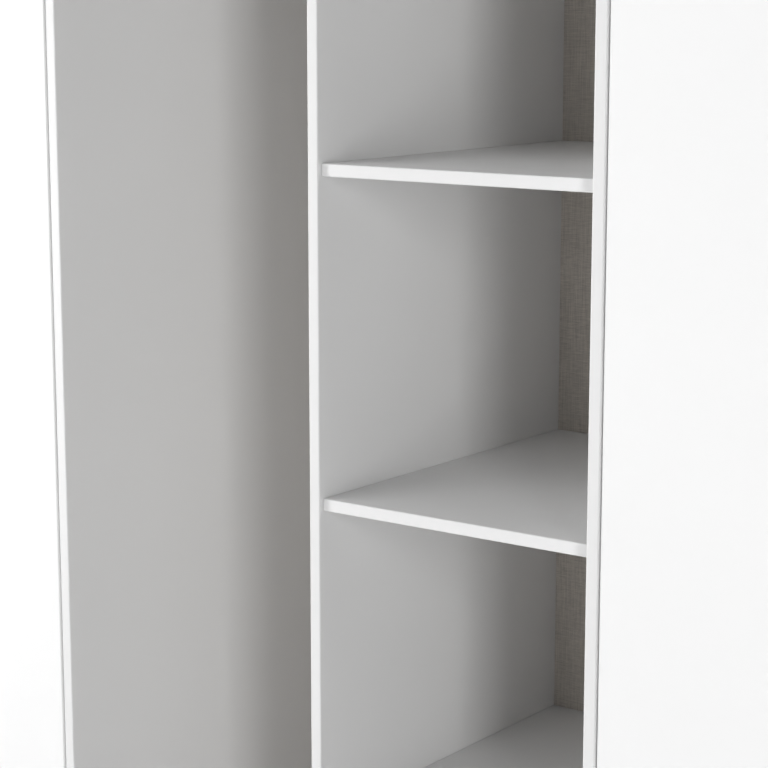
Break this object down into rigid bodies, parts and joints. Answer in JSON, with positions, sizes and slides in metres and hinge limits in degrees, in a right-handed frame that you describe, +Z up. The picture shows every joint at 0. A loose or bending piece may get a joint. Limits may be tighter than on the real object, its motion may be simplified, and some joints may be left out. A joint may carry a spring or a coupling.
{
  "type": "wardrobe",
  "caption": "Free-standing wardrobe with two hinged doors: a hanging compartment with rail and hat shelf beside a column of open shelves, on a recessed plinth.",
  "frame": {"origin": "middle of the carcass's footprint, on the floor", "axes": "+Z up, +X to the right seen from the front, +Y from the front to the back"},
  "size_m": [1.601, 0.5563, 2],
  "materials": {
    "board": "white melamine-faced chipboard, fine matt grain",
    "edge_band": "white edge banding with rounded arrises",
    "door_board": "white melamine-faced chipboard, fine matt grain",
    "back_hardboard": "thin hardboard with a printed taupe linen weave inside and a bare brown outer face",
    "white_plastic": "white moulded plastic",
    "glide_plastic": "hard grey-white plastic",
    "zinc": "bright zinc-plated",
    "nickel": "satin nickel-plated steel",
    "chrome": "polished chrome-plated steel tube",
    "brushed_handle": "brushed steel",
    "magnet": "dark sintered magnet",
    "beech": "plain beech",
    "bumper": "clear soft polyurethane"
  },
  "bodies": {
    "carcass": {"left_side": "board", "right_side": "board", "divider": "board", "top_panel": "board", "bottom_panel": "board", "plinth_front": "board", "plinth_back": "board", "shelf_1": "board", "shelf_2": "board", "shelf_3": "board", "shelf_4": "board", "hat_shelf": "board", "carcass_edge_bands": "edge_band", "back_panel_left": "back_hardboard", "back_panel_right": "back_hardboard", "back_joining_strip": "white_plastic", "magnet_catches": "white_plastic", "screw_caps": "white_plastic", "glides": "glide_plastic", "cams": "zinc", "cam_bolts": "zinc", "connecting_screws": "zinc", "back_nails": "zinc", "shelf_pins": "zinc", "wall_bracket_left": "zinc", "wall_bracket_right": "zinc", "wall_bracket_screws": "zinc", "catch_screws": "zinc", "left_side_hinge_leaves": "nickel", "right_side_hinge_leaves": "nickel", "left_hinge_pins": "nickel", "right_hinge_pins": "nickel", "side_hinge_screws": "nickel", "hanging_rail": "chrome", "rail_bracket_left": "chrome", "rail_bracket_divider": "chrome", "rail_bracket_screws": "chrome", "catch_magnets": "magnet", "dowels": "beech"},
    "left_door": {"left_door": "door_board", "left_door_edge_bands": "edge_band", "left_door_hinge_leaves": "nickel", "left_door_hinge_screws": "nickel", "left_handle_bar": "brushed_handle", "left_handle_posts": "brushed_handle", "left_handle_screws": "zinc", "left_strike_plate": "zinc", "left_strike_plate_screws": "zinc", "left_door_bumpers": "bumper"},
    "right_door": {"right_door": "door_board", "right_door_edge_bands": "edge_band", "right_door_hinge_leaves": "nickel", "right_door_hinge_screws": "nickel", "right_handle_bar": "brushed_handle", "right_handle_posts": "brushed_handle", "right_handle_screws": "zinc", "right_strike_plate": "zinc", "right_strike_plate_screws": "zinc", "right_door_bumpers": "bumper"}
  },
  "joints": [
    {"name": "left_door_hinge", "type": "hinge", "parent": "carcass", "child": "left_door", "pos_m": [-0.401, -0.2765, 1], "axis": [0, 0, -1], "range_deg": [-180, 0]},
    {"name": "right_door_hinge", "type": "hinge", "parent": "carcass", "child": "right_door", "pos_m": [0.401, -0.2765, 1], "axis": [0, 0, 1], "range_deg": [-180, 0]}
  ]
}
